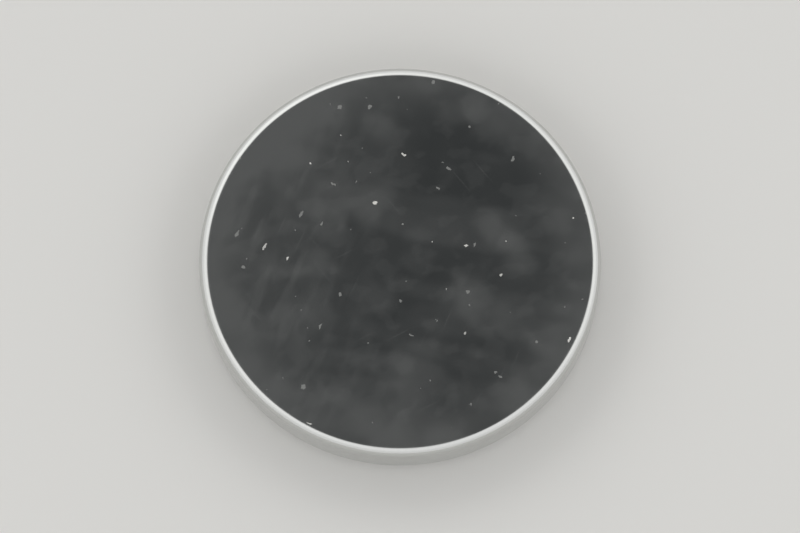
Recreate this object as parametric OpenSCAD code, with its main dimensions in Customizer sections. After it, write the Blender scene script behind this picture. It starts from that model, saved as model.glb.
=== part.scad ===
// Lithium coin cell, 20 mm across and 3.2 mm high, lying on its negative contact.
// Every piece but the collector grid is turned from its half section, drawn in X (radius) and Y (height).

/* [Cell] */
// Diameter of the cell over the can's side wall
cell_d = 20; // [16:0.1:24.5]
// Height from the negative contact to the positive face
cell_h = 3.2; // [2.5:0.1:5.4]

/* [Positive can] */
// Thickness of the can's steel
can_t = 0.25; // [0.2:0.01:0.3]
// Outside radius of the drawn corner round the positive face
can_corner_r = 0.55; // [0.4:0.05:1]
// Outside radius of the edge that is rolled over the seal
crimp_r = 0.6; // [0.5:0.05:0.75]
// Angle that the edge is rolled through, past the side wall
crimp_turn = 125; // [100:5:140]

/* [Negative cap] */
// Thickness of the cap's steel
cap_t = 0.25; // [0.2:0.01:0.3]
// Height that the negative contact stands proud of the rolled edge
contact_rise = 0.25; // [0.1:0.05:0.4]
// Outside radius of the contact's edge
contact_edge_r = 0.4; // [0.35:0.05:0.6]
// Straight part of the wall between the contact and the ledge
contact_wall_h = 0.05; // [0.02:0.01:0.2]
// Flat width of the ledge that the seal is pressed against
ledge_w = 0.15; // [0.05:0.05:1]
// Inside radius of the cap's tight bends
cap_bend_r = 0.1; // [0.05:0.01:0.2]
// Gap left inside the fold of the hem
fold_gap = 0.1; // [0.04:0.02:0.2]
// Distance that the hem's cut edge stops short of the skirt's bend
hem_stop = 0.35; // [0.1:0.05:0.6]

/* [Seal] */
// Thickness of the seal between the hem and the can's side wall
seal_t = 0.4; // [0.3:0.05:0.6]
// Thickness of the seal between the fold and the positive face
seal_base_t = 0.4; // [0.2:0.05:0.6]
// Thickness of the seal's lip inside the skirt
seal_lip_t = 0.4; // [0.2:0.05:0.6]
// Height of the seal's lip inside the skirt, above the seal's base
seal_lip_h = 0.9; // [0.2:0.05:1]
// Width of the ring of seal that shows inside the rolled edge
seal_bead_w = 0.3; // [0.1:0.05:0.5]

/* [Electrodes] */
// Thickness of the lithium disc
lithium_t = 0.6; // [0.3:0.05:0.9]
// Thickness of the separator
separator_t = 0.12; // [0.05:0.01:0.3]
// Straight height of the separator's rim, above the fold round the pellet's edge
separator_rim_h = 0.7; // [0.1:0.05:1.2]
// Radius on the pellet's edges
pellet_edge_r = 0.2; // [0.05:0.05:0.4]
// Radial room left round the lithium disc and round the separator
electrode_gap = 0.15; // [0.05:0.01:0.5]

/* [Collector grid] */
// Distance that the grid stops short of the pellet's side
grid_margin = 0.4; // [0.2:0.05:2]
// Thickness of the grid's steel
grid_t = 0.1; // [0.05:0.01:0.2]
// Width of the plain rim left round the openings
grid_rim = 0.4; // [0.2:0.05:1]
// Width of a strand between two openings
strand_w = 0.25; // [0.15:0.01:0.4]
// Pitch of the diamonds the long way
diamond_long = 2.6; // [2.2:0.1:4]
// Pitch of the diamonds the short way
diamond_short = 1.5; // [1.3:0.1:2.4]

/* [Hidden] */
$fn = 96;

// Can: its bore, and the centres of its drawn corner and of its rolled edge
can_in_r = cell_d / 2 - can_t;
can_floor = cell_h - can_t;
corner_x = cell_d / 2 - can_corner_r;
corner_z = cell_h - can_corner_r;
crimp_x = cell_d / 2 - crimp_r;
crimp_z = contact_rise + crimp_r;

// Cap: the skirt hangs from the ledge, and its end is folded outwards against the seal
bend_out_r = cap_bend_r + cap_t;
skirt_r = can_in_r - seal_t - cap_t - fold_gap;
skirt_x = skirt_r - bend_out_r;
contact_r = skirt_x - ledge_w - cap_bend_r;
edge_x = contact_r - contact_edge_r;
ledge_z = contact_edge_r + contact_wall_h + cap_bend_r;
skirt_z = ledge_z + bend_out_r;
fold_out_r = fold_gap / 2 + cap_t;
fold_x = skirt_r + fold_gap / 2;
fold_z = can_floor - seal_base_t - fold_out_r;
hem_z = skirt_z + hem_stop;

// Seal: its lip inside the skirt, and the bead that shows beside the middle of the rolled edge's end
seal_lip_r = skirt_r - cap_t - seal_lip_t;
seal_lip_z = can_floor - seal_base_t - seal_lip_h;
crimp_mid_r = crimp_r - can_t / 2;
seal_bead_r = crimp_x + crimp_mid_r * cos(crimp_turn) - seal_bead_w;
seal_bead_z = crimp_z - crimp_mid_r * sin(crimp_turn);

// Stack: lithium disc, separator, pellet and grid fill the height between the cap and the can
lithium_r = edge_x - electrode_gap;
separator_z = cap_t + lithium_t;
separator_r = min(contact_r - cap_t, seal_lip_r) - electrode_gap;
pellet_r = separator_r - separator_t;
pellet_z = separator_z + separator_t;
grid_z = can_floor - grid_t;
grid_r = pellet_r - grid_margin;

// Rectangle between two corners
module strip(from, to) {
    translate(from) square(to - from);
}

// Wedge with its point at the origin, from one angle to another in steps of 45 degrees or less
module wedge(reach, from, to) {
    steps = ceil((to - from) / 45);
    angles = [for (i = [0 : steps]) from + (to - from) * i / steps];
    polygon(concat([[0, 0]], [for (a = angles) reach * [cos(a), sin(a)]]));
}

// Bend in sheet steel of thickness t, about a centre
module bend(centre, out_r, t, from, to) {
    translate(centre) intersection() {
        difference() {
            circle(out_r);
            circle(out_r - t);
        }
        wedge(2 * out_r, from, to);
    }
}

// Deep-drawn cup with its floor upwards, and its edge rolled in and up over the seal
module can_section() {
    strip([0, can_floor], [corner_x, cell_h]);
    bend([corner_x, corner_z], can_corner_r, can_t, 0, 90);
    strip([can_in_r, crimp_z], [cell_d / 2, corner_z]);
    bend([crimp_x, crimp_z], crimp_r, can_t, -crimp_turn, 0);
}

// Pressed cap: raised contact, ledge under the rolled edge, skirt, and a hem folded back outwards
module cap_section() {
    strip([0, 0], [edge_x, cap_t]);
    bend([edge_x, contact_edge_r], contact_edge_r, cap_t, -90, 0);
    strip([contact_r - cap_t, contact_edge_r], [contact_r, ledge_z - cap_bend_r]);
    bend([contact_r + cap_bend_r, ledge_z - cap_bend_r], bend_out_r, cap_t, 90, 180);
    strip([contact_r + cap_bend_r, ledge_z], [skirt_x, ledge_z + cap_t]);
    bend([skirt_x, skirt_z], bend_out_r, cap_t, -90, 0);
    strip([skirt_r - cap_t, skirt_z], [skirt_r, fold_z]);
    bend([fold_x, fold_z], fold_out_r, cap_t, 0, 180);
    strip([skirt_r + fold_gap, hem_z], [skirt_r + fold_gap + cap_t, fold_z]);
}

// Moulded ring before it is squeezed: it reaches half way into the steel on every side that it seals
module seal_blank() {
    skirt_mid = skirt_r - cap_t / 2;
    wall_mid = cell_d / 2 - can_t / 2;
    corner_mid_r = can_corner_r - can_t / 2;
    strip([seal_lip_r, seal_lip_z], [corner_x, can_floor + can_t / 2]);
    translate([corner_x, corner_z]) intersection() {
        circle(corner_mid_r);
        wedge(2 * corner_mid_r, 0, 90);
    }
    strip([skirt_mid, crimp_z], [wall_mid, corner_z]);
    intersection() {
        translate([crimp_x, crimp_z]) circle(crimp_mid_r);
        strip([skirt_mid, contact_rise], [wall_mid, crimp_z]);
    }
    strip([max(skirt_mid, seal_bead_r), seal_bead_z], [crimp_x, crimp_z]);
    strip([seal_bead_r, seal_bead_z], [crimp_x, ledge_z + cap_t / 2]);
}

// The crimp has pressed the seal to the shape of the room between the can and the cap
module seal_section() {
    difference() {
        seal_blank();
        can_section();
        cap_section();
    }
}

// Shallow cup of separator, its rim folded up round the pellet
module separator_section() {
    fold_r = pellet_edge_r + separator_t;
    fold_in_x = pellet_r - pellet_edge_r;
    rim_z = pellet_z + pellet_edge_r;
    strip([0, separator_z], [fold_in_x, pellet_z]);
    bend([fold_in_x, rim_z], fold_r, separator_t, -90, 0);
    strip([pellet_r, rim_z], [separator_r, rim_z + separator_rim_h]);
}

// Pressed pellet with rounded edges
module pellet_section() {
    flat_r = pellet_r - pellet_edge_r;
    strip([0, pellet_z], [flat_r, grid_z]);
    strip([flat_r, pellet_z + pellet_edge_r], [pellet_r, grid_z - pellet_edge_r]);
    bend([flat_r, pellet_z + pellet_edge_r], pellet_edge_r, pellet_edge_r, -90, 0);
    bend([flat_r, grid_z - pellet_edge_r], pellet_edge_r, pellet_edge_r, 0, 90);
}

// One opening of the grid, its width measured between strands
module diamond() {
    slant = norm([diamond_long, diamond_short]) / 2;
    reach_x = diamond_long / 2 - strand_w * slant / diamond_short;
    reach_y = diamond_short / 2 - strand_w * slant / diamond_long;
    polygon([[reach_x, 0], [0, reach_y], [-reach_x, 0], [0, -reach_y]]);
}

// Openings of the grid, every other row shifted by half a pitch, and cut off at the plain rim
module diamonds() {
    rim_r = grid_r - grid_rim;
    rows = ceil(2 * rim_r / diamond_short);
    columns = ceil(rim_r / diamond_long);
    intersection() {
        circle(rim_r);
        union() for (row = [-rows : rows], column = [-columns : columns]) {
            shift = row % 2 == 0 ? 0 : 1 / 2;
            centre = [(column + shift) * diamond_long, row * diamond_short / 2];
            if (norm(centre) < rim_r) translate(centre) diamond();
        }
    }
}

module positive_can() {
    color("lightsteelblue") rotate_extrude() can_section();
}

module negative_cap() {
    color("silver") rotate_extrude() cap_section();
}

module seal_ring() {
    color("ivory") rotate_extrude() seal_section();
}

module lithium_disc() {
    color("lightgray") translate([0, 0, cap_t]) cylinder(h = lithium_t, r = lithium_r);
}

module separator() {
    color("white") rotate_extrude() separator_section();
}

module cathode_pellet() {
    color("dimgray") rotate_extrude() pellet_section();
}

module collector_grid() {
    color("gray") translate([0, 0, grid_z]) linear_extrude(grid_t) difference() {
        circle(grid_r);
        diamonds();
    }
}

positive_can();
negative_cap();
seal_ring();
lithium_disc();
separator();
cathode_pellet();
collector_grid();
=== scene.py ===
import math

import bmesh
import bpy
from mathutils import Matrix, Vector


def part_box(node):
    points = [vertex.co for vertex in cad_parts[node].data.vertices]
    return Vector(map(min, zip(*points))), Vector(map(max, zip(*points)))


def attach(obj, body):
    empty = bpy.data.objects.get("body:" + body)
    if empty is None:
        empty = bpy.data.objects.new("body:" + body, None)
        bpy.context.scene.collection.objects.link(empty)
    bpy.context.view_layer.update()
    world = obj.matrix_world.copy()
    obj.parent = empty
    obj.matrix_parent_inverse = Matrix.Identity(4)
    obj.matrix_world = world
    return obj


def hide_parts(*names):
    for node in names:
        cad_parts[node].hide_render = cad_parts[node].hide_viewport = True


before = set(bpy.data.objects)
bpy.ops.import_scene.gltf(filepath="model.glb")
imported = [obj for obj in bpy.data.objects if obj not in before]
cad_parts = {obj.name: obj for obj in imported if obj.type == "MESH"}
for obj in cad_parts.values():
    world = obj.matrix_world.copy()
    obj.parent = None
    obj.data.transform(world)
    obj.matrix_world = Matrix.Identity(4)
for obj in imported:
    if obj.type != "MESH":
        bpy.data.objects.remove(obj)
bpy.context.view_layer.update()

bl_info = {
    "name": "Lithium Coin Cell",
    "version": (1, 0, 0),
    "blender": (4, 5, 0),
    "location": "3D View > Sidebar > Coin Cell",
    "description": "Builds the shells, the separator and the finishes of a coin cell on its CAD frame",
    "category": "Object",
}

MM = 0.001
QUARTER = math.pi / 2

# Places that the frame gives, so that each turned piece stays where its CAD node is
CAN_LOW, CAN_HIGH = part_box("positive_can")
CAP_LOW, CAP_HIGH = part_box("negative_cap")
SEPARATOR_LOW, SEPARATOR_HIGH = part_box("separator")

# Meshing of the turned pieces: a vertex held close to each end of a straight keeps the bends crisp
STEPS_AROUND = 240
BEND_STEP = math.radians(5)
SHARP_ANGLE = math.radians(40)
HOLD = 0.01 * MM
DOUBLES = 0.0001 * MM

# Pleats round the separator's rim
PLEATS = 40

# Photograph's frame, the scale at which the cell alone fills it, and a long lens in millimetres
IMAGE_W = 800
PIXELS_PER_MM = 20
VIEW_ELEVATION = math.radians(75)
LENS = 200
SENSOR = 36
NEAREST = 0.01
FURTHEST = 10

# Setting of a Map Range that eases in and out, and the values that a noise mostly keeps to
EASED = {"interpolation_type": "SMOOTHSTEP"}
FROM_NOISE = {"From Min": 0.3, "From Max": 0.7}

# Side of the positive face that is hazed most, a painted lighter side, and its haze: on clean metal,
# the most that smudges add up to, and the most that counts, with a scratch on top
PAINTED_LIGHT_SIDE = (-1, 0, 0)
HAZE_CLEAN = 0.1
HAZE_MET = 0.22
HAZE_FULL = 0.24

# What the haze stands for: roughness on clean and on hazed metal, and the share of light it scatters
ROUGH_CLEAN = 0.1
ROUGH_HAZED = 0.165
FILM_MOST = 0.12

# Soft room, brightest behind the cell: strengths at the horizon and in the band above it
BRIGHT_SIDE = (-0.26, 0.966, 0)
HORIZON_BRIGHT = (1, 1, 1, 1)
HORIZON_DIM = (0.95, 0.95, 0.95, 1)
BAND_BRIGHT = (1.28, 1.28, 1.27, 1)
BAND_DIM = (1.12, 1.12, 1.13, 1)

# Elevations, in degrees, where the horizon turns to the band, and the band to the dark ceiling
TO_BAND = (15, 35)
TO_OVERHEAD = (50, 63)

# Large soft lamp behind the cell, to its left, and the table top, just clear of the contact
KEY_SIZE = 1.5
KEY_WATTS = 1.2
KEY_AZIMUTH = math.radians(210)
KEY_ELEVATION = math.radians(40)
KEY_DISTANCE = 2
FLOOR_R = 1.6
FLOOR_SIDES = 96
FLOOR_DROP = 0.01 * MM


def linear(hex_colour):
    """Turns an sRGB hex colour into the linear red, green, blue and alpha that sockets take."""
    channels = [int(hex_colour[i : i + 2], 16) / 255 for i in (0, 2, 4)]
    return (*(c / 12.92 if c <= 0.04045 else ((c + 0.055) / 1.055) ** 2.4 for c in channels), 1)


def length(name, description, millimetres):
    """Size that a user can change, given in millimetres and kept in metres."""
    return bpy.props.FloatProperty(
        name=name,
        description=description,
        default=millimetres * MM,
        min=0,
        precision=5,
        subtype="DISTANCE",
        unit="LENGTH",
    )


def colour(name, description, hex_colour):
    """Colour that a user can change, given as sRGB hex and kept as linear values."""
    return bpy.props.FloatVectorProperty(
        name=name,
        description=description,
        default=linear(hex_colour),
        min=0,
        max=1,
        size=4,
        subtype="COLOR",
    )


class CellSizes(bpy.types.PropertyGroup):
    steel_t: length("Steel", "Thickness of the can's and the cap's sheet steel", 0.25)
    cut_edge_r: length("Cut edge", "Rounding of the steel's and the separator's cut edges", 0.04)
    corner_r: length("Corner", "Outside radius of the can's drawn corner", 0.55)
    crimp_r: length("Rolled edge", "Outside radius of the can's rolled edge", 0.6)
    crimp_turn: bpy.props.FloatProperty(
        name="Rolled angle",
        description="Angle that the can's edge is rolled through",
        default=math.radians(125),
        subtype="ANGLE",
    )
    contact_edge_r: length("Contact edge", "Outside radius of the contact's edge", 0.4)
    contact_wall: length("Contact wall", "Straight wall between contact and ledge", 0.05)
    ledge_w: length("Ledge", "Flat width of the cap's ledge", 0.15)
    bend_r: length("Tight bends", "Inside radius of the cap's tight bends", 0.1)
    fold_gap: length("Fold", "Gap left inside the fold of the hem", 0.1)
    hem_stop: length("Hem", "Distance from the hem's cut edge to the skirt's bend", 0.35)
    base_t: length("Seal base", "Thickness of the seal between the fold and the can's floor", 0.4)
    lip_t: length("Seal lip", "Thickness of the seal's lip inside the skirt", 0.4)
    lip_h: length("Seal lip height", "Height of the seal's lip above its base", 0.9)
    lip_edge_r: length("Seal lip edge", "Rounding of the moulded lip's edges", 0.06)
    bead_w: length("Seal bead", "Width of the seal that shows inside the rolled edge", 0.3)
    bead_edge_r: length("Seal bead edge", "Rounding of the bead where the crimp squeezes it out", 0.12)
    felt_t: length("Separator", "Thickness of the separator", 0.12)
    felt_bend_r: length("Separator bend", "Inside radius where the separator folds up", 0.2)
    pleat: length("Pleats", "Depth of the pleats in the separator's rim", 0.14)


class CellColours(bpy.types.PropertyGroup):
    can: colour("Can", "Nickel-plated steel of the can", "CDCECC")
    dust: colour("Dust", "Brightest specks of dust on the can", "DCDBD6")
    lint: colour("Lint", "Dullest specks and fibres on the can", "7D7E7C")
    cap: colour("Cap", "Stainless steel of the cap", "C3C2BF")
    seal: colour("Seal", "Natural polypropylene of the seal", "DCDAD2")
    lithium: colour("Lithium", "Fresh lithium foil", "C9C9CB")
    tarnish: colour("Tarnish", "Dull patches on the lithium foil", "9A9A9E")
    felt: colour("Separator", "Fibres of the nonwoven separator", "F0EFEA")
    felt_shade: colour("Separator shade", "Shade between the separator's fibres", "D2D1CB")
    pellet: colour("Pellet", "Pressed manganese dioxide and graphite", "2B2B2C")
    grid: colour("Grid", "Expanded stainless steel", "BAB9B6")
    floor: colour("Floor", "Pale table that the cell lies on", "E6E5E2")
    overhead: colour("Overhead", "Dark ceiling that the positive face mirrors", "414344")


class Section:
    """Half section of a turned piece, drawn as a wire in the XZ plane from a point and a heading."""

    def __init__(self, radius, height):
        self.mesh = bmesh.new()
        self.tip = self.mesh.verts.new((radius, 0, height))
        self.heading = 0

    def run(self, distance):
        """Draws straight on, with a holding vertex close to each end of a long run."""
        start = self.tip.co.copy()
        along = Vector((math.cos(self.heading), 0, math.sin(self.heading)))
        stops = (HOLD, distance - HOLD, distance) if distance > 3 * HOLD else (distance,)
        for stop in stops:
            self.tip = bmesh.ops.extrude_vert_indiv(self.mesh, verts=[self.tip])["verts"][0]
            self.tip.co = start + along * stop

    def turn(self, angle, radius):
        """Draws on round a bend, to the left for a positive angle."""
        side = self.heading + math.copysign(QUARTER, angle)
        spun = bmesh.ops.spin(
            self.mesh,
            geom=[self.tip],
            cent=self.tip.co + radius * Vector((math.cos(side), 0, math.sin(side))),
            axis=(0, -1, 0),
            angle=angle,
            steps=max(3, round(abs(angle) / BEND_STEP)),
        )
        self.tip = next(v for v in spun["geom_last"] if isinstance(v, bmesh.types.BMVert))
        self.heading += angle

    def face(self, heading):
        """Turns sharply to a heading, measured from straight outwards."""
        self.heading = heading

    def sheet(self, moves, thickness, edge_r):
        """Draws a bent sheet that lies to the left: out along it, round its edge, and back."""
        for move, *sizes in moves:
            move(*sizes)
        self.turn(QUARTER, edge_r)
        self.run(thickness - 2 * edge_r)
        self.turn(QUARTER, edge_r)
        for move, size, *radius in reversed(moves):
            if radius:
                move(-size, radius[0] - math.copysign(thickness, size))
            else:
                move(size)

    def revolve(self):
        """Turns the section about the cell's axis into a closed solid."""
        bmesh.ops.spin(
            self.mesh,
            geom=self.mesh.verts[:] + self.mesh.edges[:],
            cent=(0, 0, 0),
            axis=(0, 0, 1),
            angle=2 * math.pi,
            steps=STEPS_AROUND,
            use_merge=True,
        )
        bmesh.ops.remove_doubles(self.mesh, verts=self.mesh.verts, dist=DOUBLES)
        bmesh.ops.recalc_face_normals(self.mesh, faces=self.mesh.faces)
        return self.mesh


def as_object(name, mesh, material):
    """Makes a mesh object of a bmesh, smooth but for its sharp edges."""
    data = bpy.data.meshes.new(name)
    mesh.to_mesh(data)
    mesh.free()
    data.shade_smooth()
    data.set_sharp_from_angle(angle=SHARP_ANGLE)
    data.materials.append(material)
    made = bpy.data.objects.new(name, data)
    bpy.context.scene.collection.objects.link(made)
    return made


def stand_in(piece, node_name):
    """Puts a piece in the place of its CAD node."""
    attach(piece, "root")
    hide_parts(node_name)


def finish_node(node_name, material):
    """Gives its finish to a CAD node that keeps its own mesh."""
    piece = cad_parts[node_name]
    piece.data.materials.clear()
    piece.data.materials.append(material)


def add(tree, kind, inputs=None, **settings):
    """Adds a node with its settings, and gives its sockets, by name or place, values or other nodes."""
    made = tree.nodes.new(kind)
    for name, value in settings.items():
        setattr(made, name, value)
    sockets = [socket for socket in made.inputs if socket.enabled]
    named = {socket.name: socket for socket in reversed(sockets)}
    for key, value in (inputs or {}).items():
        socket = sockets[key] if isinstance(key, int) else named[key]
        if isinstance(value, bpy.types.Node):
            value = next(output for output in value.outputs if output.enabled)
        if isinstance(value, bpy.types.NodeSocket):
            tree.links.new(value, socket)
        else:
            socket.default_value = value
    return made


def start_material(name):
    """Starts a material and its node tree with the coordinates of its piece, in metres."""
    material = bpy.data.materials.new(name)
    material.use_nodes = True
    tree = material.node_tree
    tree.nodes.clear()
    return material, tree, add(tree, "ShaderNodeTexCoord").outputs["Object"]


def finish_material(tree, inputs):
    """Ends a material with its surface shader."""
    shader = add(tree, "ShaderNodeBsdfPrincipled", inputs)
    add(tree, "ShaderNodeOutputMaterial", {"Surface": shader})


def mm(*millimetres):
    """Real sizes of a pattern, given in millimetres, for the Texture form of a Mapping node."""
    return tuple(size * MM for size in millimetres)


def scratches(tree, spot, turns):
    """Places of hairline scratches, at a few times their real width of 0.01 mm so that they show."""
    # Each lies in one long cell of a pattern, and half of the cells are empty
    marks = 0
    for turned in turns:
        line_at = add(
            tree,
            "ShaderNodeMapping",
            {"Vector": spot, "Rotation": (0, 0, math.radians(turned)), "Scale": mm(24, 0.6, 1)},
            vector_type="TEXTURE",
        )
        line = add(
            tree, "ShaderNodeTexVoronoi", {"Vector": line_at, "Scale": 1}, voronoi_dimensions="2D"
        )
        chosen = add(tree, "ShaderNodeSeparateColor", {0: line.outputs["Color"]})
        reach = add(
            tree,
            "ShaderNodeMapRange",
            {"Value": chosen.outputs[0], "From Min": 0.55, "To Max": 0.045},
        )
        mark = add(
            tree,
            "ShaderNodeMapRange",
            {"Value": line.outputs["Distance"], "From Min": reach, "From Max": 0},
        )
        marks = add(tree, "ShaderNodeMath", {0: marks, 1: mark}, operation="MAXIMUM")
    return marks


def handling_haze(tree, spot, radius, face):
    """Haze of fingers and hairline scratches, more of it towards the rim, and more on one side as
    painted light that makes that side lighter.
    """
    # Painted light: the haze grows towards one side so that this side of the face shows lighter, as the
    # light fell on it
    across = add(tree, "ShaderNodeVectorMath", {0: spot, 1: PAINTED_LIGHT_SIDE}, operation="DOT_PRODUCT")
    painted_light_side = add(
        tree,
        "ShaderNodeMapRange",
        {"Value": across, "From Min": -2 * MM, "From Max": 8 * MM},
        **EASED,
    )
    rim = add(
        tree,
        "ShaderNodeMapRange",
        {"Value": radius, "From Min": 7 * MM, "From Max": CAN_HIGH.x - 0.5 * MM},
        **EASED,
    )
    haze = HAZE_CLEAN
    for part, weight in ((painted_light_side, 0.048), (rim, 0.052)):
        haze = add(tree, "ShaderNodeMath", {0: part, 1: weight, 2: haze}, operation="MULTIPLY_ADD")

    # Broad shades, clouds, smears across, slanting streaks on the painted lighter side, and small
    # smudges
    streaked = add(tree, "ShaderNodeMath", {0: painted_light_side, 1: 0.035}, operation="MULTIPLY")
    for turned, cell_size, low, high, most in (
        (37, (6, 6, 6), 0.42, 0.65, 0.02),
        (50, (2.4, 2.4, 2.4), 0.44, 0.68, 0.035),
        (-12, (8, 2.2, 8), 0.47, 0.66, 0.03),
        (68, (3, 0.7, 3), 0.48, 0.7, streaked),
        (25, (1.5, 1.1, 1.5), 0.53, 0.61, 0.015),
    ):
        smudge_at = add(
            tree,
            "ShaderNodeMapping",
            {
                "Vector": spot,
                "Rotation": (0, 0, math.radians(turned)),
                "Scale": mm(*cell_size),
            },
            vector_type="TEXTURE",
        )
        smudge = add(tree, "ShaderNodeTexNoise", {"Vector": smudge_at, "Scale": 1, "Detail": 2})
        smudges = add(
            tree,
            "ShaderNodeMapRange",
            {"Value": smudge, "From Min": low, "From Max": high, "To Max": most},
            **EASED,
        )
        haze = add(tree, "ShaderNodeMath", {0: haze, 1: smudges}, operation="ADD")

    # A few uneven blots; where much of all this meets, the film grows no thicker
    stray = add(tree, "ShaderNodeTexNoise", {"Vector": spot, "Scale": 1 / (6 * MM), "Detail": 2})
    blot_at = add(
        tree,
        "ShaderNodeVectorMath",
        {0: stray.outputs["Color"], 1: mm(5, 5, 0), 2: spot},
        operation="MULTIPLY_ADD",
    )
    blot = add(
        tree,
        "ShaderNodeTexVoronoi",
        {"Vector": blot_at, "Scale": 1 / (4 * MM)},
        voronoi_dimensions="2D",
    )
    blots = add(
        tree,
        "ShaderNodeMapRange",
        {"Value": blot.outputs["Distance"], "From Min": 0.32, "From Max": 0.1, "To Max": face},
        **EASED,
    )
    haze = add(tree, "ShaderNodeMath", {0: blots, 1: 0.025, 2: haze}, operation="MULTIPLY_ADD")
    haze = add(tree, "ShaderNodeMath", {0: haze, 1: HAZE_MET, 2: 0.04}, operation="SMOOTH_MIN")

    scratched = scratches(tree, spot, (28, 66, -50))
    return add(
        tree, "ShaderNodeMath", {0: scratched, 1: 0.07, 2: haze}, operation="MULTIPLY_ADD"
    )


def dust_and_fibres(tree, spot):
    """Ragged specks of dust and a few short fibres: where they lie, and how brightly they shine."""
    ragged = add(tree, "ShaderNodeTexNoise", {"Vector": spot, "Scale": 1 / (0.14 * MM), "Detail": 2})
    warped = add(
        tree,
        "ShaderNodeVectorMath",
        {0: ragged.outputs["Color"], 1: mm(0.22, 0.22, 0), 2: spot},
        operation="MULTIPLY_ADD",
    )
    # Each lies in one cell of a pattern, and most cells are empty
    speck, shine = 0, 0
    for turned, cell_size, share, least, most in (
        (17, (0.9, 0.9, 1), 0.12, 0.02, 0.045),
        (0, (1.6, 1.6, 1), 0.3, 0.02, 0.065),
        (64, (2.4, 0.8, 1), 0.06, 0.04, 0.1),
        (-28, (2.4, 0.8, 1), 0.04, 0.04, 0.08),
    ):
        cell_at = add(
            tree,
            "ShaderNodeMapping",
            {
                "Vector": warped,
                "Rotation": (0, 0, math.radians(turned)),
                "Scale": mm(*cell_size),
            },
            vector_type="TEXTURE",
        )
        cell = add(
            tree, "ShaderNodeTexVoronoi", {"Vector": cell_at, "Scale": 1}, voronoi_dimensions="2D"
        )
        draw = add(tree, "ShaderNodeSeparateColor", {0: cell.outputs["Color"]})
        size = add(
            tree, "ShaderNodeMapRange", {"Value": draw.outputs[1], "To Min": least, "To Max": most}
        )
        inside = add(
            tree, "ShaderNodeMath", {0: cell.outputs["Distance"], 1: size}, operation="LESS_THAN"
        )
        present = add(tree, "ShaderNodeMath", {0: draw.outputs[0], 1: share}, operation="LESS_THAN")
        mark = add(tree, "ShaderNodeMath", {0: inside, 1: present}, operation="MULTIPLY")
        lit = add(tree, "ShaderNodeMapRange", {"Value": draw.outputs[2], "From Min": 0.75})
        bright = add(tree, "ShaderNodeMath", {0: lit, 1: mark}, operation="MULTIPLY")
        speck = add(tree, "ShaderNodeMath", {0: speck, 1: mark}, operation="MAXIMUM")
        shine = add(tree, "ShaderNodeMath", {0: shine, 1: bright}, operation="MAXIMUM")
    return speck, shine


def can_steel(colours):
    """Nickel-plated steel, cold rolled and deep drawn: a dull mirror, hazed by handling and dusty."""
    material, tree, spot = start_material("nickel_plated_steel_drawn")
    height = add(tree, "ShaderNodeSeparateXYZ", {0: spot}).outputs["Z"]
    level = add(tree, "ShaderNodeVectorMath", {0: spot, 1: (1, 1, 0)}, operation="MULTIPLY")
    radius = add(tree, "ShaderNodeVectorMath", {0: level}, operation="LENGTH")
    face = add(
        tree,
        "ShaderNodeMapRange",
        {"Value": height, "From Min": CAN_HIGH.z - 0.5 * MM, "From Max": CAN_HIGH.z - 0.02 * MM},
        **EASED,
    )

    # Faint straight lines of the rolls along the face and of the die down the wall, and the slight
    # hollows of a thin drawn sheet; the real lines are microns wide, drawn here coarse enough to show
    rolled_at = add(
        tree, "ShaderNodeMapping", {"Vector": spot, "Scale": mm(9, 0.09, 9)}, vector_type="TEXTURE"
    )
    drawn_at = add(
        tree, "ShaderNodeMapping", {"Vector": spot, "Scale": mm(0.11, 0.11, 4)}, vector_type="TEXTURE"
    )
    rolled = add(tree, "ShaderNodeTexNoise", {"Vector": rolled_at, "Scale": 1, "Detail": 3})
    drawn = add(tree, "ShaderNodeTexNoise", {"Vector": drawn_at, "Scale": 1, "Detail": 3})
    lines = add(tree, "ShaderNodeMix", {"Factor": face, "A": drawn, "B": rolled})
    hollows = add(
        tree, "ShaderNodeTexNoise", {"Vector": spot, "Scale": 1 / (7 * MM), "Detail": 1}
    )
    relief = add(
        tree, "ShaderNodeMath", {0: lines, 1: 0.02, 2: hollows}, operation="MULTIPLY_ADD"
    )
    bump = add(tree, "ShaderNodeBump", {"Strength": 1, "Distance": 0.03 * MM, "Height": relief})

    # Haze and scratches blur the dark mirror a little, and scatter some light of their own over it
    haze = handling_haze(tree, spot, radius, face)
    from_haze = {"Value": haze, "From Min": HAZE_CLEAN, "From Max": HAZE_FULL}
    rough = add(
        tree, "ShaderNodeMapRange", {**from_haze, "To Min": ROUGH_CLEAN, "To Max": ROUGH_HAZED}
    )
    film = add(tree, "ShaderNodeMapRange", {**from_haze, "To Max": FILM_MOST})

    # Dust is matt, and lies on the face alone
    speck, shine = dust_and_fibres(tree, spot)
    on_face = add(
        tree, "ShaderNodeMath", {0: height, 1: CAN_HIGH.z - HOLD}, operation="GREATER_THAN"
    )
    speck = add(tree, "ShaderNodeMath", {0: speck, 1: on_face}, operation="MULTIPLY")
    matt = add(tree, "ShaderNodeMath", {0: speck, 1: film}, operation="MAXIMUM")
    dust = add(
        tree,
        "ShaderNodeMix",
        {"Factor": shine, "A": colours.lint, "B": colours.dust},
        data_type="RGBA",
    )
    finish_material(tree, {
        "Base Color": add(
            tree,
            "ShaderNodeMix",
            {"Factor": speck, "A": colours.can, "B": dust},
            data_type="RGBA",
        ),
        "Metallic": add(tree, "ShaderNodeMath", {0: 1, 1: matt}, operation="SUBTRACT"),
        "Roughness": add(tree, "ShaderNodeMix", {"Factor": speck, "A": rough, "B": 0.7}),
        "Normal": bump,
    })
    return material


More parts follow.
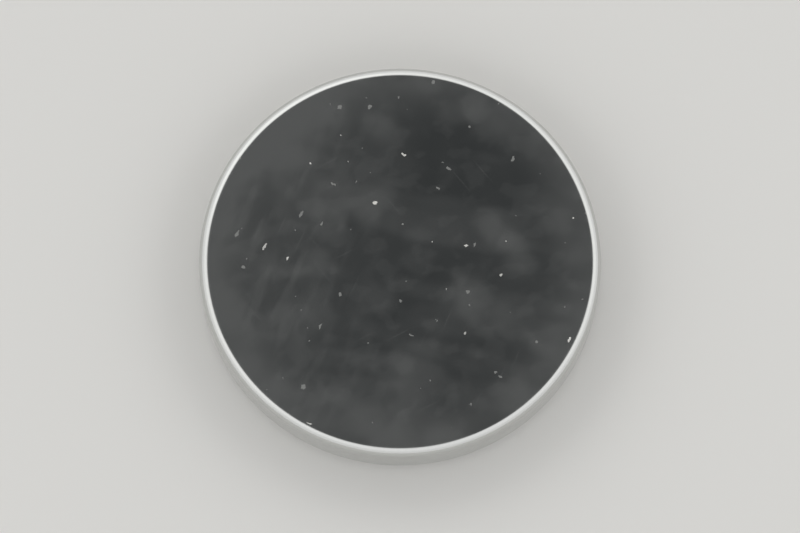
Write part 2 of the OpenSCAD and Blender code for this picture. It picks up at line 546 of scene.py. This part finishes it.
def cap_steel(colours):
    """Stainless steel, rolled and blasted satin: an even soft sheen with a fine grain."""
    material, tree, spot = start_material("stainless_steel_satin")
    # Blasting leaves dimples of about 0.05 mm, drawn at twice that so that they show
    grain = add(tree, "ShaderNodeTexNoise", {"Vector": spot, "Scale": 1 / (0.1 * MM), "Detail": 3})
    haze = add(tree, "ShaderNodeTexNoise", {"Vector": spot, "Scale": 1 / (1.6 * MM), "Detail": 4})
    hazed = add(
        tree,
        "ShaderNodeMapRange",
        {"Value": haze, **FROM_NOISE, "To Min": 0.345, "To Max": 0.375},
    )
    scratched = scratches(tree, spot, (12, -35, 80))
    rough = add(
        tree, "ShaderNodeMath", {0: scratched, 1: 0.12, 2: hazed}, operation="MULTIPLY_ADD"
    )
    bump = add(tree, "ShaderNodeBump", {"Strength": 1, "Distance": 0.004 * MM, "Height": grain})
    finish_material(
        tree, {"Base Color": colours.cap, "Metallic": 1, "Roughness": rough, "Normal": bump}
    )
    return material


def seal_plastic(colours):
    """Natural polypropylene, injection moulded: milky, a little translucent, with a soft gloss."""
    material, tree, spot = start_material("polypropylene_moulded")
    # The mould's grain is about 0.05 mm, drawn at four times that so that it shows
    grain = add(tree, "ShaderNodeTexNoise", {"Vector": spot, "Scale": 1 / (0.2 * MM), "Detail": 3})
    rough = add(
        tree,
        "ShaderNodeMapRange",
        {"Value": grain, **FROM_NOISE, "To Min": 0.36, "To Max": 0.48},
    )
    bump = add(tree, "ShaderNodeBump", {"Strength": 0.4, "Distance": 0.004 * MM, "Height": grain})
    finish_material(tree, {
        "Base Color": colours.seal,
        "Subsurface Weight": 0.3,
        "Subsurface Radius": (1, 1, 1),
        "Subsurface Scale": 0.2 * MM,
        "IOR": 1.49,
        "Roughness": rough,
        "Normal": bump,
    })
    return material


def lithium_foil(colours):
    """Lithium, rolled foil: soft grey metal with the lines of the rolls and dull patches of tarnish."""
    material, tree, spot = start_material("lithium_rolled")
    # Lines of the rolls are microns wide, drawn at 0.15 mm so that they show
    rolled_at = add(
        tree, "ShaderNodeMapping", {"Vector": spot, "Scale": mm(6, 0.15, 6)}, vector_type="TEXTURE"
    )
    rolled = add(tree, "ShaderNodeTexNoise", {"Vector": rolled_at, "Scale": 1, "Detail": 4})
    cloud = add(tree, "ShaderNodeTexNoise", {"Vector": spot, "Scale": 1 / (2.5 * MM), "Detail": 5})
    patches = add(
        tree,
        "ShaderNodeMapRange",
        {"Value": cloud, "From Min": 0.4, "From Max": 0.7},
        **EASED,
    )
    finish_material(tree, {
        "Base Color": add(
            tree,
            "ShaderNodeMix",
            {"Factor": patches, "A": colours.lithium, "B": colours.tarnish},
            data_type="RGBA",
        ),
        "Metallic": 1,
        "Roughness": add(tree, "ShaderNodeMix", {"Factor": patches, "A": 0.38, "B": 0.6}),
        "Normal": add(
            tree, "ShaderNodeBump", {"Strength": 0.5, "Distance": 0.006 * MM, "Height": rolled}
        ),
    })
    return material


def separator_felt(colours):
    """Polypropylene, melt-blown nonwoven: a matt white felt of crossing fibres."""
    material, tree, spot = start_material("polypropylene_nonwoven")
    # Fibres are a few microns thick, drawn as crossing bundles that show
    crossed = 0
    for turned in (20, 75, 140):
        bundle_at = add(
            tree,
            "ShaderNodeMapping",
            {"Vector": spot, "Rotation": (0, 0, math.radians(turned)), "Scale": mm(1.6, 0.07, 0.4)},
            vector_type="TEXTURE",
        )
        bundles = add(tree, "ShaderNodeTexNoise", {"Vector": bundle_at, "Scale": 1, "Detail": 3})
        crossed = add(tree, "ShaderNodeMath", {0: crossed, 1: bundles}, operation="MAXIMUM")
    lit = add(tree, "ShaderNodeMapRange", {"Value": crossed, "From Min": 0.5, "From Max": 0.7})
    finish_material(tree, {
        "Base Color": add(
            tree,
            "ShaderNodeMix",
            {"Factor": lit, "A": colours.felt_shade, "B": colours.felt},
            data_type="RGBA",
        ),
        "Roughness": 0.8,
        "Sheen Weight": 0.2,
        "IOR": 1.49,
        "Normal": add(
            tree, "ShaderNodeBump", {"Strength": 0.7, "Distance": 0.02 * MM, "Height": crossed}
        ),
    })
    return material


def cathode_mix(colours):
    """Manganese dioxide and graphite, pressed powder: near black and matt, with glints of graphite."""
    material, tree, spot = start_material("manganese_dioxide_pressed")
    # Grains of the powder are under 0.05 mm, drawn at three times that so that they show
    grit = add(
        tree,
        "ShaderNodeTexNoise",
        {"Vector": spot, "Scale": 1 / (0.14 * MM), "Detail": 5, "Roughness": 0.65},
    )
    flakes = add(tree, "ShaderNodeTexVoronoi", {"Vector": spot, "Scale": 1 / (0.18 * MM)})
    draw = add(tree, "ShaderNodeSeparateColor", {0: flakes.outputs["Color"]})
    glint = add(tree, "ShaderNodeMath", {0: draw, 1: 0.86}, operation="GREATER_THAN")
    finish_material(tree, {
        "Base Color": colours.pellet,
        "Roughness": add(tree, "ShaderNodeMix", {"Factor": glint, "A": 0.75, "B": 0.35}),
        "Normal": add(
            tree, "ShaderNodeBump", {"Strength": 0.7, "Distance": 0.02 * MM, "Height": grit}
        ),
    })
    return material


def grid_steel(colours):
    """Stainless steel, slit and stretched: bright strands dulled by the press."""
    material, tree, spot = start_material("stainless_steel_expanded")
    # Scuffs of the press, about half as wide as a strand
    scuff_at = add(
        tree, "ShaderNodeMapping", {"Vector": spot, "Scale": mm(0.5, 0.12, 0.3)}, vector_type="TEXTURE"
    )
    scuffs = add(tree, "ShaderNodeTexNoise", {"Vector": scuff_at, "Scale": 1, "Detail": 4})
    rough = add(
        tree,
        "ShaderNodeMapRange",
        {"Value": scuffs, **FROM_NOISE, "To Min": 0.24, "To Max": 0.42},
    )
    bump = add(tree, "ShaderNodeBump", {"Strength": 0.5, "Distance": 0.005 * MM, "Height": scuffs})
    finish_material(
        tree, {"Base Color": colours.grid, "Metallic": 1, "Roughness": rough, "Normal": bump}
    )
    return material


class CELL_OT_positive_can(bpy.types.Operator):
    """Deep-drawn can, its floor upwards and its edge rolled over the seal"""

    bl_idname = "cell.positive_can"
    bl_label = "Positive Can"

    def execute(self, context):
        sizes = context.scene.cell_sizes
        wall = CAN_HIGH.z - sizes.corner_r - CAN_LOW.z - sizes.crimp_r
        cut_turn = sizes.cut_edge_r / (sizes.crimp_r - sizes.steel_t / 2)
        can = Section(0, CAN_HIGH.z - sizes.steel_t)
        moves = [
            (can.run, CAN_HIGH.x - sizes.corner_r),
            (can.turn, -QUARTER, sizes.corner_r - sizes.steel_t),
            (can.run, wall),
            (can.turn, cut_turn - sizes.crimp_turn, sizes.crimp_r - sizes.steel_t),
        ]
        can.sheet(moves, sizes.steel_t, sizes.cut_edge_r)
        piece = as_object("can_shell", can.revolve(), can_steel(context.scene.cell_colours))
        stand_in(piece, "positive_can")
        return {"FINISHED"}


class Cap:
    """Places of the cap's section, which the seal is pressed round."""

    def __init__(self, sizes):
        self.wide_r = sizes.bend_r + sizes.steel_t
        self.fold_r = sizes.fold_gap / 2
        self.skirt_r = CAP_HIGH.x - sizes.steel_t - sizes.fold_gap
        self.contact_r = self.skirt_r - self.wide_r - sizes.ledge_w - sizes.bend_r
        self.skirt_z = sizes.contact_edge_r + sizes.contact_wall + sizes.bend_r + self.wide_r
        self.fold_z = CAP_HIGH.z - self.fold_r - sizes.steel_t
        self.hem_h = self.fold_z - self.skirt_z - sizes.hem_stop


class CELL_OT_negative_cap(bpy.types.Operator):
    """Pressed cap with its contact, ledge, skirt and folded hem"""

    bl_idname = "cell.negative_cap"
    bl_label = "Negative Cap"

    def execute(self, context):
        sizes = context.scene.cell_sizes
        at = Cap(sizes)
        cap = Section(0, CAP_LOW.z)
        moves = [
            (cap.run, at.contact_r - sizes.contact_edge_r),
            (cap.turn, QUARTER, sizes.contact_edge_r),
            (cap.run, sizes.contact_wall),
            (cap.turn, -QUARTER, sizes.bend_r),
            (cap.run, sizes.ledge_w),
            (cap.turn, QUARTER, at.wide_r),
            (cap.run, at.fold_z - at.skirt_z),
            (cap.turn, -2 * QUARTER, at.fold_r),
            (cap.run, at.hem_h - sizes.cut_edge_r),
        ]
        cap.sheet(moves, sizes.steel_t, sizes.cut_edge_r)
        piece = as_object("cap_shell", cap.revolve(), cap_steel(context.scene.cell_colours))
        stand_in(piece, "negative_cap")
        return {"FINISHED"}


class CELL_OT_seal(bpy.types.Operator):
    """Moulded seal, pressed by the crimp to the shape of the room between the can and the cap"""

    bl_idname = "cell.seal"
    bl_label = "Seal"

    def execute(self, context):
        sizes = context.scene.cell_sizes
        at = Cap(sizes)
        crimp_mid_r = sizes.crimp_r - sizes.steel_t / 2
        rolled_r = CAN_HIGH.x - sizes.crimp_r + crimp_mid_r * math.cos(sizes.crimp_turn)
        bead_z = CAN_LOW.z + sizes.crimp_r - crimp_mid_r * math.sin(sizes.crimp_turn)
        bead_r = rolled_r - sizes.bead_w
        on_bend = math.acos((bead_r - at.skirt_r + at.wide_r) / at.wide_r)
        bead_top = at.skirt_z - at.wide_r * math.sin(on_bend)
        ceiling = CAN_HIGH.z - sizes.steel_t
        lip_r = at.skirt_r - sizes.steel_t - sizes.lip_t

        seal = Section(bead_r, bead_top)
        # Bead that shows, then up inside the can to its floor
        seal.face(-QUARTER)
        seal.run(bead_top - bead_z - sizes.bead_edge_r)
        seal.turn(QUARTER, sizes.bead_edge_r)
        seal.run(sizes.bead_w - sizes.bead_edge_r)
        seal.face(2 * QUARTER - sizes.crimp_turn)
        seal.run(sizes.steel_t / 2)
        seal.face(QUARTER - sizes.crimp_turn)
        seal.turn(sizes.crimp_turn, sizes.crimp_r - sizes.steel_t)
        seal.run(CAN_HIGH.z - sizes.corner_r - CAN_LOW.z - sizes.crimp_r)
        seal.turn(QUARTER, sizes.corner_r - sizes.steel_t)
        seal.run(CAN_HIGH.x - sizes.corner_r - lip_r)
        # Lip inside the skirt
        seal.face(-QUARTER)
        seal.run(sizes.base_t + sizes.lip_h - sizes.lip_edge_r)
        seal.turn(QUARTER, sizes.lip_edge_r)
        seal.run(sizes.lip_t - 2 * sizes.lip_edge_r)
        seal.turn(QUARTER, sizes.lip_edge_r)
        seal.run(at.fold_z - ceiling + sizes.base_t + sizes.lip_h - sizes.lip_edge_r)
        # Over the fold, round the hem, and down the outside of the skirt to the bead
        seal.turn(-2 * QUARTER, at.fold_r + sizes.steel_t)
        seal.run(at.hem_h)
        seal.face(2 * QUARTER)
        seal.run(sizes.steel_t)
        seal.face(QUARTER)
        seal.run(at.hem_h)
        seal.turn(2 * QUARTER, at.fold_r)
        seal.run(at.fold_z - at.skirt_z)
        seal.turn(-on_bend, at.wide_r)
        piece = as_object("seal", seal.revolve(), seal_plastic(context.scene.cell_colours))
        stand_in(piece, "seal_ring")
        return {"FINISHED"}


class CELL_OT_separator(bpy.types.Operator):
    """Cup of nonwoven, its rim folded up round the pellet and pleated where the cloth is spare"""

    bl_idname = "cell.separator"
    bl_label = "Separator"

    def execute(self, context):
        sizes = context.scene.cell_sizes
        outer_bend_r = sizes.felt_bend_r + sizes.felt_t
        flat_r = SEPARATOR_HIGH.x - outer_bend_r
        rim_h = SEPARATOR_HIGH.z - SEPARATOR_LOW.z - outer_bend_r
        cup = Section(0, SEPARATOR_LOW.z)
        moves = [
            (cup.run, flat_r),
            (cup.turn, QUARTER, outer_bend_r),
            (cup.run, rim_h / 2),
            (cup.run, rim_h / 2 - sizes.cut_edge_r),
        ]
        cup.sheet(moves, sizes.felt_t, sizes.cut_edge_r)
        mesh = cup.revolve()
        for vert in mesh.verts:
            risen = max(0, vert.co.z - SEPARATOR_LOW.z - outer_bend_r) / rim_h
            angle = math.atan2(vert.co.y, vert.co.x)
            out = sizes.pleat * risen * (0.5 + 0.5 * math.cos(PLEATS * angle))
            vert.co += Vector((math.cos(angle), math.sin(angle), 0)) * out
        piece = as_object("separator_cup", mesh, separator_felt(context.scene.cell_colours))
        stand_in(piece, "separator")
        return {"FINISHED"}


class CELL_OT_electrodes(bpy.types.Operator):
    """Lithium disc, pressed pellet and the grid that carries its current"""

    bl_idname = "cell.electrodes"
    bl_label = "Electrodes"

    def execute(self, context):
        colours = context.scene.cell_colours
        finish_node("lithium_disc", lithium_foil(colours))
        finish_node("cathode_pellet", cathode_mix(colours))
        finish_node("collector_grid", grid_steel(colours))
        return {"FINISHED"}


def lay_floor(colours):
    """Pale matt table top that the cell lies on."""
    mesh = bmesh.new()
    bmesh.ops.create_circle(
        mesh,
        cap_ends=True,
        segments=FLOOR_SIDES,
        radius=FLOOR_R,
        matrix=Matrix.Translation((0, 0, -FLOOR_DROP)),
    )
    material, tree, _ = start_material("table_top_matt")
    finish_material(
        tree, {"Base Color": colours.floor, "Roughness": 0.9, "Specular IOR Level": 0.2}
    )
    as_object("floor", mesh, material)


def light_room(colours):
    """Soft room: pale horizon, a brighter band above it for the rim, and dark overhead for the face."""
    world = bpy.data.worlds.new("soft_room")
    world.use_nodes = True
    tree = world.node_tree
    tree.nodes.clear()
    toward = add(tree, "ShaderNodeTexCoord").outputs["Generated"]
    rise = add(tree, "ShaderNodeSeparateXYZ", {0: toward}).outputs["Z"]
    # Full strength over the half of the room that has the bright side in its middle
    side = add(
        tree, "ShaderNodeVectorMath", {0: toward, 1: BRIGHT_SIDE}, operation="DOT_PRODUCT"
    )
    bright = add(
        tree,
        "ShaderNodeMapRange",
        {"Value": side, "From Min": -0.9, "From Max": 0},
        **EASED,
    )
    horizon, band = (
        add(
            tree,
            "ShaderNodeMix",
            {"Factor": bright, "A": dim_strength, "B": bright_strength},
            data_type="RGBA",
        )
        for dim_strength, bright_strength in (
            (HORIZON_DIM, HORIZON_BRIGHT), (BAND_DIM, BAND_BRIGHT)
        )
    )
    room = horizon
    for (low, high), next_colour in ((TO_BAND, band), (TO_OVERHEAD, colours.overhead)):
        climb = add(
            tree,
            "ShaderNodeMapRange",
            {
                "Value": rise,
                "From Min": math.sin(math.radians(low)),
                "From Max": math.sin(math.radians(high)),
            },
            **EASED,
        )
        room = add(
            tree,
            "ShaderNodeMix",
            {"Factor": climb, "A": room, "B": next_colour},
            data_type="RGBA",
        )
    sky = add(tree, "ShaderNodeBackground", {"Color": room})
    add(tree, "ShaderNodeOutputWorld", {"Surface": sky})
    bpy.context.scene.world = world


def aimed(name, data, azimuth, elevation, distance, target):
    """Places a lamp or the camera round a target, facing it."""
    back = Vector((
        math.sin(azimuth) * math.cos(elevation),
        -math.cos(azimuth) * math.cos(elevation),
        math.sin(elevation),
    ))
    made = bpy.data.objects.new(name, data)
    bpy.context.scene.collection.objects.link(made)
    made.location = target + back * distance
    made.rotation_euler = (-back).to_track_quat("-Z", "Y").to_euler()
    return made


class CELL_OT_stage(bpy.types.Operator):
    """Pale floor, soft light, and the camera at the photograph's viewing angle"""

    bl_idname = "cell.stage"
    bl_label = "Stage"

    def execute(self, context):
        colours = context.scene.cell_colours
        lay_floor(colours)
        light_room(colours)
        centre = Vector((0, 0, (CAN_HIGH.z + CAP_LOW.z) / 2))

        key = bpy.data.lights.new("key", "AREA")
        key.shape = "DISK"
        key.size = KEY_SIZE
        key.energy = KEY_WATTS
        aimed("key_lamp", key, KEY_AZIMUTH, KEY_ELEVATION, KEY_DISTANCE, centre)

        camera = bpy.data.cameras.new("camera")
        camera.lens = LENS
        camera.sensor_width = SENSOR
        camera.clip_start = NEAREST
        camera.clip_end = FURTHEST
        view_width = IMAGE_W / PIXELS_PER_MM * MM
        context.scene.camera = aimed(
            "camera", camera, 0, VIEW_ELEVATION, view_width * LENS / SENSOR, centre
        )
        context.scene.view_settings.view_transform = "Standard"
        return {"FINISHED"}


class CELL_PT_panel(bpy.types.Panel):
    """Lists the cell's operators, sizes and colours"""

    bl_idname = "CELL_PT_panel"
    bl_label = "Coin Cell"
    bl_space_type = "VIEW_3D"
    bl_region_type = "UI"
    bl_category = "Coin Cell"

    def draw(self, context):
        for operator in OPERATORS:
            self.layout.operator(operator.bl_idname)
        for group in (context.scene.cell_sizes, context.scene.cell_colours):
            box = self.layout.box()
            for name in group.__annotations__:
                box.prop(group, name)


OPERATORS = (
    CELL_OT_positive_can,
    CELL_OT_negative_cap,
    CELL_OT_seal,
    CELL_OT_separator,
    CELL_OT_electrodes,
    CELL_OT_stage,
)
CLASSES = (CellSizes, CellColours, *OPERATORS, CELL_PT_panel)


def register():
    for cls in CLASSES:
        bpy.utils.register_class(cls)
    bpy.types.Scene.cell_sizes = bpy.props.PointerProperty(type=CellSizes)
    bpy.types.Scene.cell_colours = bpy.props.PointerProperty(type=CellColours)


def unregister():
    del bpy.types.Scene.cell_colours
    del bpy.types.Scene.cell_sizes
    for cls in reversed(CLASSES):
        bpy.utils.unregister_class(cls)


def main():
    register()
    bpy.ops.cell.positive_can()
    bpy.ops.cell.negative_cap()
    bpy.ops.cell.seal()
    bpy.ops.cell.separator()
    bpy.ops.cell.electrodes()
    bpy.ops.cell.stage()


if __name__ == "__main__":
    main()
